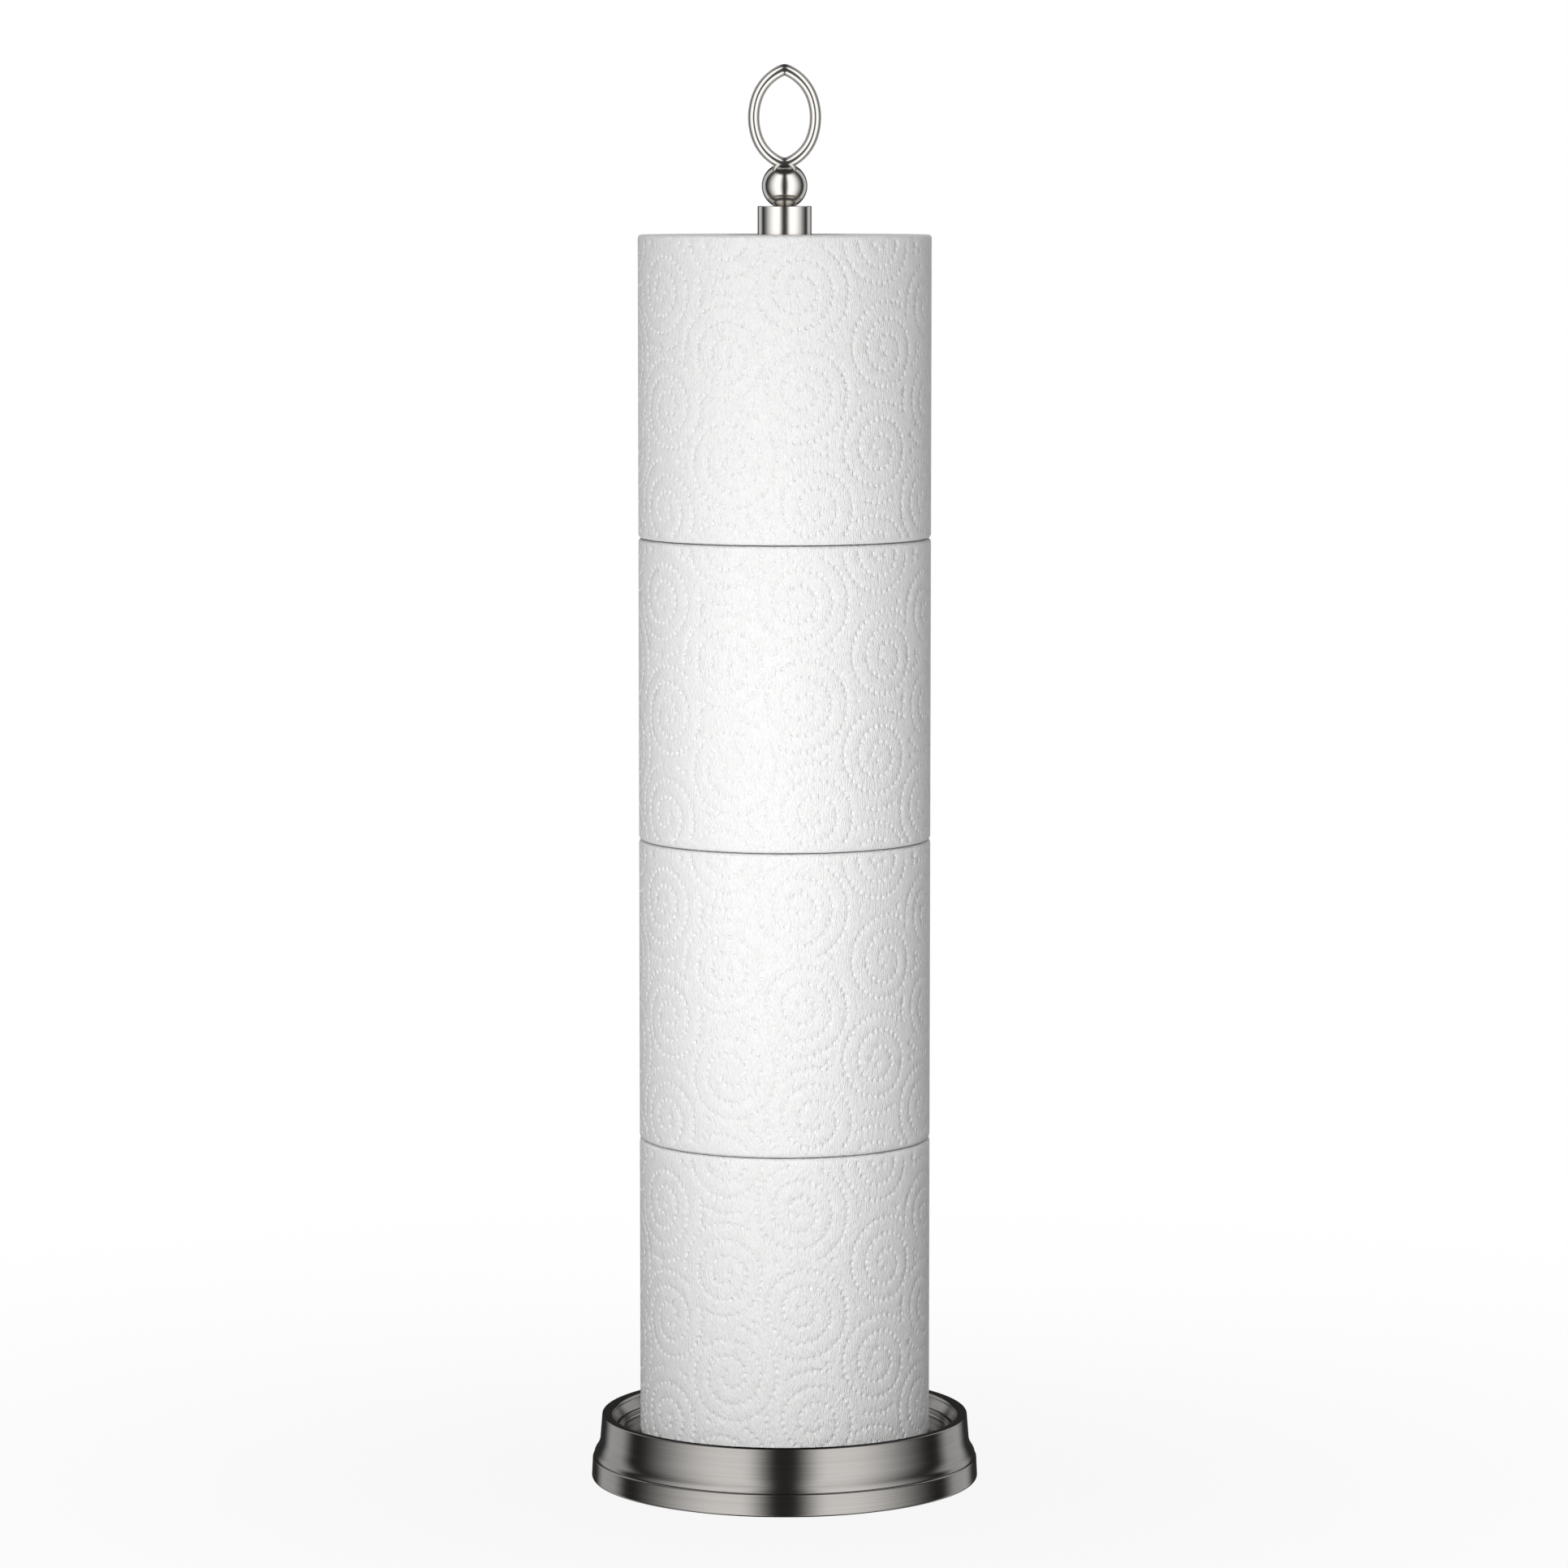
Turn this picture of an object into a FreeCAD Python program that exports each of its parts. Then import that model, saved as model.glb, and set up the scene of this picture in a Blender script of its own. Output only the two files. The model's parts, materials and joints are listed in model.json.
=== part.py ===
# Free-standing stand that stores a column of wound paper rolls on one post.
#
# A weighted round base with a lipped tray carries an upright tube. A ball and an
# almond-shaped wire loop close the tube's top, and four rolls stand in a stack on it.
#
# Frame: millimetres, +Z up, origin on the ground at the middle of the foot pad,
# and the loop lies in the XZ plane.

import FreeCAD, Part
import math
import os
import Sketcher

DOCUMENT_NAME = "roll_stand"
PARTS_FOLDER = "parts"
ROLL_COUNT = 4

# Driving dimensions in millimetres: name, value, meaning.
DIMENSIONS = [
    ("sheet_thickness", 1.2, "spun steel of the base shell"),
    ("skirt_clearance", 0.5, "gap between the shell's skirt and the ground"),
    ("skirt_radius", 69.4, "largest radius of the base, low on the skirt"),
    ("skirt_edge_round", 0.9, "rounding of the skirt's lower edge"),
    ("band_top_radius", 69.1, "radius where the plain lower band ends"),
    ("band_top_height", 7.6, "height where the plain lower band ends"),
    ("groove_radius", 68.25, "radius at the bottom of the turned groove"),
    ("groove_height", 8.6, "height of the turned groove"),
    ("groove_lower_round", 1.0, "rounding of the groove's lower lip"),
    ("groove_upper_round", 0.35, "rounding of the groove's upper lip"),
    ("shoulder_round", 3.5, "convex shoulder above the groove"),
    ("crease_radius", 67.8, "radius where the shoulder meets the cove"),
    ("crease_height", 10.9, "height where the shoulder meets the cove"),
    ("cove_round", 8.8, "concave cove under the neck"),
    ("neck_low_radius", 66.25, "radius at the foot of the neck"),
    ("neck_low_height", 15.9, "height of the foot of the neck"),
    ("neck_top_radius", 65.65, "radius at the top of the neck"),
    ("rim_height", 23.9, "height of the lip's flat top"),
    ("rim_outer_round", 0.6, "rounding of the lip's outer edge"),
    ("rim_inner_round", 1.5, "rounding of the lip's inner edge"),
    ("mouth_radius", 61.7, "radius of the tray's mouth under the lip's rounding"),
    ("seat_radius", 60.35, "radius of the wall that the pan sits in"),
    ("seat_height", 19.2, "height where the tray's sloping wall meets the pan"),
    ("flange_inner_radius", 56.0, "inner radius of the flange that carries the pan"),
    ("pan_thickness", 1.2, "pressed steel of the tray's pan"),
    ("pan_floor_height", 16.8, "height of the tray's floor"),
    ("pan_radius", 60.3, "outer radius of the pan"),
    ("pan_bead_round", 0.55, "half-round bead along the pan's edge"),
    ("pan_corner_round", 1.2, "corner between the pan's floor and its edge"),
    ("pan_bead_height", 18.65, "height where the pan's half-round bead begins"),
    ("foot_thickness", 2.0, "non-slip foot pad"),
    ("foot_radius", 67.2, "radius of the foot pad"),
    ("foot_edge_round", 0.5, "rounding of the foot pad's lower edge"),
    ("ballast_radius", 63.0, "radius of the cast ballast disc"),
    ("ballast_boss_radius", 55.5, "radius of the boss that fits inside the flange"),
    ("bolt_pocket_radius", 10.0, "pocket for the bolt's head under the ballast"),
    ("bolt_pocket_top", 11.3, "height of the pocket's ceiling"),
    ("bolt_hole_radius", 4.5, "clearance hole for the base bolt"),
    ("bolt_radius", 4.0, "shank of the base bolt"),
    ("bolt_length", 20.0, "shank length of the base bolt"),
    ("bolt_point", 1.0, "chamfered point at the end of the shank"),
    ("bolt_head_height", 5.3, "height of the hexagon head"),
    ("bolt_head_flats", 13.0, "width across the head's flats"),
    ("lock_washer_radius", 7.4, "outer radius of the spring washer"),
    ("lock_washer_hole", 4.1, "inner radius of the spring washer"),
    ("lock_washer_thickness", 2.0, "spring washer"),
    ("lock_washer_split", 1.0, "width of the spring washer's split"),
    ("flat_washer_radius", 8.0, "outer radius of the flat washer"),
    ("flat_washer_hole", 4.2, "inner radius of the flat washer"),
    ("flat_washer_thickness", 1.6, "flat washer"),
    ("thread_clearance", 0.05, "radial room around a plain stand-in for a thread"),
    ("post_diameter", 19.05, "upright tube, outside"),
    ("post_wall", 1.2, "wall of the upright tube"),
    ("post_top_height", 456.0, "height of the tube's upper end"),
    ("post_edge_chamfer", 0.2, "chamfer of the tube's upper edge"),
    ("insert_length", 18.0, "threaded insert pressed into the tube's lower end"),
    ("plug_length", 10.0, "plug pressed into the tube's upper end"),
    ("end_chamfer", 0.6, "lead-in chamfer of the plug and the stud"),
    ("stud_radius", 2.5, "stud that joins the plug and the ball"),
    ("stud_length", 14.5, "length of that stud"),
    ("stud_above_post", 5.5, "how far the stud stands into the ball"),
    ("ball_radius", 8.05, "finial ball"),
    ("ball_height", 463.1, "height of the ball's centre"),
    ("ball_bore_depth", 6.0, "depth of the ball's blind bore"),
    ("rod_radius", 2.0, "round rod of the finial's loop"),
    ("loop_height", 487.1, "height of the loop's widest place"),
    ("loop_half_width", 10.9, "centre of the rod from the axis at the widest place"),
    ("loop_side_round", 21.0, "radius of the loop's sides"),
    ("loop_upper_round", 16.4, "radius of the loop's upper shoulders"),
    ("loop_lower_round", 15.2, "radius of the loop's lower shoulders"),
    ("loop_side_rise", 6.8, "height over which each side keeps its own radius"),
    ("loop_tip_round", 2.3, "tight bend at the loop's pointed top"),
    ("loop_foot_round", 4.0, "bend at the loop's foot, where it lies in the ball"),
    ("roll_radius", 52.0, "outer radius of a full roll"),
    ("roll_length", 107.0, "length of a roll along the post"),
    ("roll_gap", 0.3, "gap under each roll"),
    ("roll_edge_round", 1.0, "soft rounding of the roll's outer edges"),
    ("core_radius", 21.5, "outer radius of the cardboard core"),
    ("core_wall", 1.0, "wall of the cardboard core"),
    ("core_recess", 0.3, "how far the core ends inside the paper"),
    ("winding_clearance", 0.05, "radial room between a core and its winding"),
]


class Size:
    """A length known both as a spreadsheet expression and as a number."""

    def __init__(self, text, value):
        self.text = text
        self.value = value

    def __add__(self, other):
        other = as_size(other)
        return Size(f"({self.text} + {other.text})", self.value + other.value)

    def __sub__(self, other):
        other = as_size(other)
        return Size(f"({self.text} - {other.text})", self.value - other.value)

    def __mul__(self, other):
        other = as_size(other)
        return Size(f"({self.text} * {other.text})", self.value * other.value)

    def __truediv__(self, other):
        other = as_size(other)
        return Size(f"({self.text} / {other.text})", self.value / other.value)


def as_size(length):
    """A plain number as a Size; a Size as it is."""
    return length if isinstance(length, Size) else Size(str(length), float(length))


def root(square):
    """The square root of a Size."""
    return Size(f"sqrt({square.text})", math.sqrt(square.value))


ZERO = as_size(0)
dim = {name: Size(f"sizes.{name}", value) for name, value, meaning in DIMENSIONS}


# ---- the document and its sheet ----


def make_sheet(doc):
    """The spreadsheet that holds every driving dimension under its alias."""
    sheet = doc.addObject("Spreadsheet::Sheet", "sizes")
    for row, (name, value, meaning) in enumerate(DIMENSIONS, start=1):
        sheet.set(f"A{row}", name)
        sheet.set(f"B{row}", str(value))
        sheet.setAlias(f"B{row}", name)
        sheet.set(f"C{row}", meaning)
    doc.recompute()


def place(sub_part, height):
    """Lift a sub-part to its height on the stand's axis."""
    sub_part.setExpression("Placement.Base.z", height.text)


# ---- sketches ----


def new_body(doc, name):
    body = doc.addObject("PartDesign::Body", name)
    body.Label = name
    return body


def origin_plane(body, role):
    return [f for f in body.Origin.OriginFeatures if f.Role == role][0]


def new_sketch(body, name, plane_role):
    """A sketch on one of its own body's origin planes."""
    sketch = body.newObject("Sketcher::SketchObject", name)
    sketch.AttachmentSupport = [(origin_plane(body, plane_role), "")]
    sketch.MapMode = "FlatFace"
    return sketch


def bind(sketch, kind, references, size):
    """Add a constraint and tie its value to the sheet."""
    index = sketch.addConstraint(Sketcher.Constraint(kind, *references, size.value))
    sketch.setExpression(f"Constraints[{index}]", size.text)


def fix_point(sketch, geometry, end, x, y):
    """Hold a point at (x, y) from the sketch's origin."""
    if x.value == 0:
        sketch.addConstraint(Sketcher.Constraint("PointOnObject", geometry, end, -2))
    else:
        bind(sketch, "DistanceX", (-1, 1, geometry, end), x)
    if y.value == 0:
        sketch.addConstraint(Sketcher.Constraint("PointOnObject", geometry, end, -1))
    else:
        bind(sketch, "DistanceY", (-1, 1, geometry, end), y)


def vector(x, y):
    return FreeCAD.Vector(x.value, y.value, 0)


def arc_between(start, end, radius, side):
    """The shorter arc from start to end, with its centre to the left or the right."""
    chord = end - start
    rise = math.sqrt(radius**2 - (chord.Length / 2) ** 2)
    left = FreeCAD.Vector(-chord.y, chord.x, 0).normalize()
    turn = 1 if side == "left" else -1
    centre = (start + end) * 0.5 + left * (rise * turn)
    first, last = (start, end) if side == "left" else (end, start)
    circle = Part.Circle(centre, FreeCAD.Vector(0, 0, 1), radius)
    return Part.ArcOfCircle(circle, angle_about(centre, first), angle_about(centre, last))


def angle_about(centre, point):
    return math.atan2(point.y - centre.y, point.x - centre.x)


def draw_outline(sketch, corners):
    """Closed outline. Each corner is (x, y), then (side, radius) if an arc leaves it."""
    ends = []
    for index, corner in enumerate(corners):
        following = corners[(index + 1) % len(corners)]
        start = vector(corner[0], corner[1])
        end = vector(following[0], following[1])
        if len(corner) == 2:
            geometry = sketch.addGeometry(Part.LineSegment(start, end))
            ends.append((geometry, 1, 2))
        else:
            side, radius = corner[2]
            arc = arc_between(start, end, radius.value, side)
            geometry = sketch.addGeometry(arc)
            ends.append((geometry, 1, 2) if side == "left" else (geometry, 2, 1))
    for index, corner in enumerate(corners):
        geometry, first, last = ends[index]
        before, before_first, before_last = ends[index - 1]
        sketch.addConstraint(
            Sketcher.Constraint("Coincident", before, before_last, geometry, first)
        )
        fix_point(sketch, geometry, first, corner[0], corner[1])
        if len(corner) == 3:
            bind(sketch, "Radius", (geometry,), corner[2][1])


# ---- solids that several sub-parts share ----


def turned(doc, name, corners):
    """A body of revolution about Z from its half section in (radius, height)."""
    body = new_body(doc, name)
    section = new_sketch(body, name + "_section", "XZ_Plane")
    draw_outline(section, corners)
    revolution = body.newObject("PartDesign::Revolution", name + "_revolution")
    revolution.Profile = section
    revolution.ReferenceAxis = (section, ["V_Axis"])
    revolution.Angle = 360
    body.Tip = revolution
    return body


def ring_corners(inner, outer, length):
    """Half section of a plain ring that stands on its own origin."""
    return [(inner, ZERO), (outer, ZERO), (outer, length), (inner, length)]


# ---- the base ----


def base_shell(doc):
    """Spun shell: skirt, groove, shoulder, cove, neck, lip, tray wall and flange."""
    sheet = dim["sheet_thickness"]
    skirt = dim["skirt_radius"]
    skirt_bottom = dim["skirt_clearance"]
    edge = dim["skirt_edge_round"]
    rim = dim["rim_height"]
    outer_round = dim["rim_outer_round"]
    inner_round = dim["rim_inner_round"]
    mouth = dim["mouth_radius"]
    seat = dim["seat_radius"]
    flange_top = dim["pan_floor_height"] - dim["pan_thickness"]
    flange_bottom = flange_top - sheet
    outside = [
        (skirt - edge, skirt_bottom, ("left", edge)),
        (skirt, skirt_bottom + edge),
        (dim["band_top_radius"], dim["band_top_height"], ("left", dim["groove_lower_round"])),
        (dim["groove_radius"], dim["groove_height"], ("left", dim["groove_upper_round"])),
        (
            dim["groove_radius"] + dim["groove_upper_round"],
            dim["groove_height"] + dim["groove_upper_round"],
            ("left", dim["shoulder_round"]),
        ),
        (dim["crease_radius"], dim["crease_height"], ("right", dim["cove_round"])),
        (dim["neck_low_radius"], dim["neck_low_height"]),
        (dim["neck_top_radius"], rim - outer_round, ("left", outer_round)),
    ]
    lip_and_tray = [
        (dim["neck_top_radius"] - outer_round, rim),
        (mouth + inner_round, rim, ("left", inner_round)),
        (mouth, rim - inner_round),
        (seat, dim["seat_height"]),
        (seat, flange_top),
        (dim["flange_inner_radius"], flange_top),
        (dim["flange_inner_radius"], flange_bottom),
        (seat + sheet, flange_bottom),
    ]
    underside = [
        (seat + sheet, dim["seat_height"]),
        (mouth + sheet, rim - inner_round),
        (mouth + inner_round, rim - sheet),
        (dim["neck_top_radius"] - sheet, rim - sheet),
        (dim["neck_low_radius"] - sheet, dim["neck_low_height"]),
        (dim["crease_radius"] - sheet, dim["crease_height"]),
        (dim["groove_radius"] - sheet, dim["groove_height"]),
        (dim["band_top_radius"] - sheet, dim["band_top_height"] - sheet),
        (skirt - sheet, skirt_bottom),
    ]
    return turned(doc, "base_shell", outside + lip_and_tray + underside)


def tray_pan(doc):
    """Pressed pan: the tray's floor with a beaded edge, clamped on the flange."""
    floor = dim["pan_floor_height"]
    outer = dim["pan_radius"]
    bead = dim["pan_bead_round"]
    bead_start = dim["pan_bead_height"]
    inner = outer - bead * 2
    corner = dim["pan_corner_round"]
    hole = dim["bolt_hole_radius"]
    underside = floor - dim["pan_thickness"]
    return turned(
        doc,
        "tray_pan",
        [
            (hole, underside),
            (outer, underside),
            (outer, bead_start, ("left", bead)),
            (outer - bead, bead_start + bead, ("left", bead)),
            (inner, bead_start),
            (inner, floor + corner, ("right", corner)),
            (inner - corner, floor),
            (hole, floor),
        ],
    )


def ballast_disc(doc):
    """Cast disc that weighs the base down, with a pocket for the bolt's head."""
    pan_underside = dim["pan_floor_height"] - dim["pan_thickness"]
    shoulder = pan_underside - dim["sheet_thickness"]
    bottom = dim["foot_thickness"]
    pocket = dim["bolt_pocket_radius"]
    hole = dim["bolt_hole_radius"]
    return turned(
        doc,
        "ballast_disc",
        [
            (pocket, bottom),
            (dim["ballast_radius"], bottom),
            (dim["ballast_radius"], shoulder),
            (dim["ballast_boss_radius"], shoulder),
            (dim["ballast_boss_radius"], pan_underside),
            (hole, pan_underside),
            (hole, dim["bolt_pocket_top"]),
            (pocket, dim["bolt_pocket_top"]),
        ],
    )


def foot_pad(doc):
    """Non-slip pad stuck under the ballast; its lower edge is eased."""
    edge = dim["foot_edge_round"]
    radius = dim["foot_radius"]
    return turned(
        doc,
        "foot_pad",
        [
            (ZERO, ZERO),
            (radius - edge, ZERO, ("left", edge)),
            (radius, edge),
            (radius, dim["foot_thickness"]),
            (ZERO, dim["foot_thickness"]),
        ],
    )


def bolt_seat():
    """Height of the bolt head's upper face, under both washers."""
    washers = dim["flat_washer_thickness"] + dim["lock_washer_thickness"]
    return dim["bolt_pocket_top"] - washers


def base_bolt(doc):
    """Hexagon bolt that pulls the ballast, the pan and the post together."""
    head = doc.addObject("Part::Prism", "bolt_head")
    head.Polygon = 6
    half_flats = dim["bolt_head_flats"] / 2
    head.setExpression("Circumradius", f"{half_flats.text} / cos(30deg)")
    head.setExpression("Height", dim["bolt_head_height"].text)
    place(head, bolt_seat() - dim["bolt_head_height"])

    shank = doc.addObject("Part::Cylinder", "bolt_shank")
    shank.setExpression("Radius", dim["bolt_radius"].text)
    shank.setExpression("Height", (dim["bolt_length"] - dim["bolt_point"]).text)
    place(shank, bolt_seat())

    point = doc.addObject("Part::Cone", "bolt_point")
    point.setExpression("Radius1", dim["bolt_radius"].text)
    point.setExpression("Radius2", (dim["bolt_radius"] - dim["bolt_point"]).text)
    point.setExpression("Height", dim["bolt_point"].text)
    place(point, bolt_seat() + dim["bolt_length"] - dim["bolt_point"])

    bolt = doc.addObject("Part::MultiFuse", "base_bolt")
    bolt.Shapes = [head, shank, point]
    bolt.Refine = True
    bolt.Label = "base_bolt"
    return bolt


def lock_washer(doc):
    """Split spring washer under the bolt's head."""
    disc = doc.addObject("Part::Cylinder", "lock_washer_disc")
    disc.setExpression("Radius", dim["lock_washer_radius"].text)
    disc.setExpression("Height", dim["lock_washer_thickness"].text)

    hole = doc.addObject("Part::Cylinder", "lock_washer_hole")
    hole.setExpression("Radius", dim["lock_washer_hole"].text)
    hole.setExpression("Height", dim["lock_washer_thickness"].text)

    ring = doc.addObject("Part::Cut", "lock_washer_ring")
    ring.Base = disc
    ring.Tool = hole

    split = doc.addObject("Part::Box", "lock_washer_slot")
    split.setExpression("Length", dim["lock_washer_radius"].text)
    split.setExpression("Width", dim["lock_washer_split"].text)
    split.setExpression("Height", dim["lock_washer_thickness"].text)
    split.setExpression("Placement.Base.y", f"-{dim['lock_washer_split'].text} / 2")

    washer = doc.addObject("Part::Cut", "lock_washer")
    washer.Base = ring
    washer.Tool = split
    washer.Label = "lock_washer"
    place(washer, bolt_seat())
    return washer


def flat_washer(doc):
    """Flat washer against the pocket's ceiling."""
    corners = ring_corners(
        dim["flat_washer_hole"], dim["flat_washer_radius"], dim["flat_washer_thickness"]
    )
    washer = turned(doc, "flat_washer", corners)
    place(washer, bolt_seat() + dim["lock_washer_thickness"])
    return washer


# ---- the post ----


def post_bore_radius():
    return dim["post_diameter"] / 2 - dim["post_wall"]


def post_tube(doc):
    """Upright tube that stands on the pan, with both upper edges broken."""
    bore = post_bore_radius()
    outer = dim["post_diameter"] / 2
    chamfer = dim["post_edge_chamfer"]
    length = dim["post_top_height"] - dim["pan_floor_height"]
    tube = turned(
        doc,
        "post_tube",
        [
            (bore, ZERO),
            (outer, ZERO),
            (outer, length - chamfer),
            (outer - chamfer, length),
            (bore + chamfer, length),
            (bore, length - chamfer),
        ],
    )
    place(tube, dim["pan_floor_height"])
    return tube


def post_foot_insert(doc):
    """Threaded insert in the tube's lower end that takes the base bolt."""
    bore = dim["bolt_radius"] + dim["thread_clearance"]
    corners = ring_corners(bore, post_bore_radius(), dim["insert_length"])
    insert = turned(doc, "post_foot_insert", corners)
    place(insert, dim["pan_floor_height"])
    return insert


def post_top_plug(doc):
    """Plug in the tube's upper end, flush with it, that takes the finial's stud."""
    bore = dim["stud_radius"] + dim["thread_clearance"]
    outer = post_bore_radius()
    chamfer = dim["end_chamfer"]
    length = dim["plug_length"]
    plug = turned(
        doc,
        "post_top_plug",
        [
            (bore, ZERO),
            (outer - chamfer, ZERO),
            (outer, chamfer),
            (outer, length),
            (bore, length),
        ],
    )
    place(plug, dim["post_top_height"] - length)
    return plug


# ---- the finial ----


def finial_stud(doc):
    """Stud screwed into the plug and the ball, with both ends chamfered."""
    radius = dim["stud_radius"]
    chamfer = dim["end_chamfer"]
    length = dim["stud_length"]
    stud = turned(
        doc,
        "finial_stud",
        [
            (ZERO, ZERO),
            (radius - chamfer, ZERO),
            (radius, chamfer),
            (radius, length - chamfer),
            (radius - chamfer, length),
            (ZERO, length),
        ],
    )
    place(stud, dim["post_top_height"] + dim["stud_above_post"] - length)
    return stud


def loop_half(end, bend):
    """Centres of one end's shoulder and bend, counted outwards from the widest place."""
    side = dim["loop_side_round"]
    shoulder = dim[f"loop_{end}_round"]
    sine = dim["loop_side_rise"] / side
    shrink = side - shoulder
    shoulder_x = dim["loop_half_width"] - side + shrink * root(as_size(1) - sine * sine)
    shoulder_y = shrink * sine
    reach = shoulder - dim[f"loop_{bend}_round"]
    bend_y = shoulder_y + root(reach * reach - shoulder_x * shoulder_x)
    return shoulder_x, shoulder_y, bend_y


def touching_point(centre, radius, other):
    """Where the circle about centre touches the smaller circle about other."""
    return centre + (other - centre).normalize() * radius.value


def draw_loop_path(sketch):
    """Right half of the rod's centre line: five tangent arcs about the widest place."""
    order = ["foot", "lower", "side", "upper", "tip"]
    radii = [dim[f"loop_{name}_round"] for name in order]
    upper_x, upper_y, tip_y = loop_half("upper", "tip")
    lower_x, lower_y, foot_y = loop_half("lower", "foot")
    side_x = dim["loop_half_width"] - dim["loop_side_round"]
    centres = [
        vector(ZERO, ZERO - foot_y),
        vector(lower_x, ZERO - lower_y),
        vector(side_x, ZERO),
        vector(upper_x, upper_y),
        vector(ZERO, tip_y),
    ]
    joints = [
        vector(ZERO, ZERO - foot_y - radii[0]),
        touching_point(centres[1], radii[1], centres[0]),
        touching_point(centres[2], radii[2], centres[1]),
        touching_point(centres[2], radii[2], centres[3]),
        touching_point(centres[3], radii[3], centres[4]),
        vector(ZERO, tip_y + radii[4]),
    ]
    for index, radius in enumerate(radii):
        start, end = joints[index], joints[index + 1]
        sketch.addGeometry(arc_between(start, end, radius.value, "left"))
        bind(sketch, "Radius", (index,), radius)
        if index > 0:
            sketch.addConstraint(Sketcher.Constraint("Tangent", index - 1, 2, index, 1))
    foot, side, tip = 0, 2, 4
    for geometry, end in ((foot, 1), (foot, 3), (tip, 2), (tip, 3)):
        sketch.addConstraint(Sketcher.Constraint("PointOnObject", geometry, end, -2))
    fix_point(sketch, side, 3, side_x, ZERO)
    bind(sketch, "DistanceY", (-1, 1, side, 2), dim["loop_side_rise"])
    bind(sketch, "DistanceY", (side, 1, -1, 1), dim["loop_side_rise"])


def finial_loop(doc):
    """Almond-shaped loop of round rod: one half swept, the other mirrored."""
    body = new_body(doc, "finial_loop")
    path = new_sketch(body, "finial_loop_path", "XZ_Plane")
    draw_loop_path(path)

    section = new_sketch(body, "finial_loop_section", "YZ_Plane")
    foot_y = loop_half("lower", "foot")[2]
    rod_y = ZERO - foot_y - dim["loop_foot_round"]
    circle = Part.Circle(vector(ZERO, rod_y), FreeCAD.Vector(0, 0, 1), dim["rod_radius"].value)
    section.addGeometry(circle)
    bind(section, "Radius", (0,), dim["rod_radius"])
    fix_point(section, 0, 3, ZERO, rod_y)

    sweep = body.newObject("PartDesign::AdditivePipe", "finial_loop_sweep")
    sweep.Profile = section
    sweep.Spine = path
    mirror = body.newObject("PartDesign::Mirrored", "finial_loop_mirror")
    mirror.Originals = [sweep]
    mirror.MirrorPlane = (origin_plane(body, "YZ_Plane"), [""])
    body.Tip = mirror
    place(body, dim["loop_height"])
    return body


def finial_ball(doc, loop):
    """Ball with a flat seat, a blind bore for the stud and a saddle for the loop."""
    radius = dim["ball_radius"]
    sink = dim["ball_height"] - dim["post_top_height"]
    flat = root(radius * radius - sink * sink)
    bore = dim["stud_radius"] + dim["thread_clearance"]
    body = turned(
        doc,
        "drilled_ball",
        [
            (bore, ZERO),
            (flat, ZERO, ("left", radius)),
            (ZERO, sink + radius),
            (ZERO, dim["ball_bore_depth"]),
            (bore, dim["ball_bore_depth"]),
        ],
    )
    place(body, dim["post_top_height"])

    ball = doc.addObject("Part::Cut", "finial_ball")
    ball.Base = body
    ball.Tool = loop
    ball.Label = "finial_ball"
    return ball


# ---- the rolls ----


def roll(doc, number):
    """One roll: a cardboard core and the paper wound on it."""
    length = dim["roll_length"]
    edge = dim["roll_edge_round"]
    radius = dim["roll_radius"]
    core_outer = dim["core_radius"]
    pitch = length + dim["roll_gap"]
    bottom = dim["pan_floor_height"] + dim["roll_gap"] + pitch * (number - 1)

    core_corners = ring_corners(
        core_outer - dim["core_wall"], core_outer, length - dim["core_recess"] * 2
    )
    core = turned(doc, f"roll_{number}_core", core_corners)
    place(core, bottom + dim["core_recess"])

    bore = core_outer + dim["winding_clearance"]
    paper = turned(
        doc,
        f"roll_{number}_paper",
        [
            (bore, ZERO),
            (radius - edge, ZERO, ("left", edge)),
            (radius, edge),
            (radius, length - edge, ("left", edge)),
            (radius - edge, length),
            (bore, length),
        ],
    )
    place(paper, bottom)
    return [core, paper]


# ---- checking and writing ----


def check_document(doc, sub_parts):
    """Stop if anything failed to compute or a sub-part isn't one good solid."""
    for thing in doc.Objects:
        if "Invalid" in thing.State or "Error" in thing.State:
            raise RuntimeError(f"{thing.Label} failed: {thing.State}")
    for sub_part in sub_parts:
        shape = sub_part.Shape
        if shape.isNull() or not shape.isValid() or len(shape.Solids) != 1:
            raise RuntimeError(f"{sub_part.Label} is not one valid solid")


def write_parts(sub_parts):
    os.makedirs(PARTS_FOLDER, exist_ok=True)
    for sub_part in sub_parts:
        shape = sub_part.Shape
        shape.exportStep(os.path.join(PARTS_FOLDER, sub_part.Label + ".step"))
        box = shape.BoundBox
        print(
            f"{sub_part.Label:18s} volume {shape.Volume / 1000:9.3f} cm3"
            f"  height {box.ZMin:7.2f} to {box.ZMax:7.2f}"
        )


def main():
    doc = FreeCAD.newDocument(DOCUMENT_NAME)
    make_sheet(doc)
    makers = [
        base_shell,
        tray_pan,
        ballast_disc,
        foot_pad,
        base_bolt,
        lock_washer,
        flat_washer,
        post_tube,
        post_foot_insert,
        post_top_plug,
        finial_stud,
    ]
    sub_parts = [make(doc) for make in makers]
    loop = finial_loop(doc)
    sub_parts += [loop, finial_ball(doc, loop)]
    for number in range(1, ROLL_COUNT + 1):
        sub_parts += roll(doc, number)
    doc.recompute()
    check_document(doc, sub_parts)
    write_parts(sub_parts)


main()
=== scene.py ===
"""Free-standing holder with four paper rolls: its looks, in metres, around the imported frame."""
import json
import math
import random

import bpy
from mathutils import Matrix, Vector
from mathutils.geometry import delaunay_2d_cdt
from mathutils.kdtree import KDTree


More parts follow.
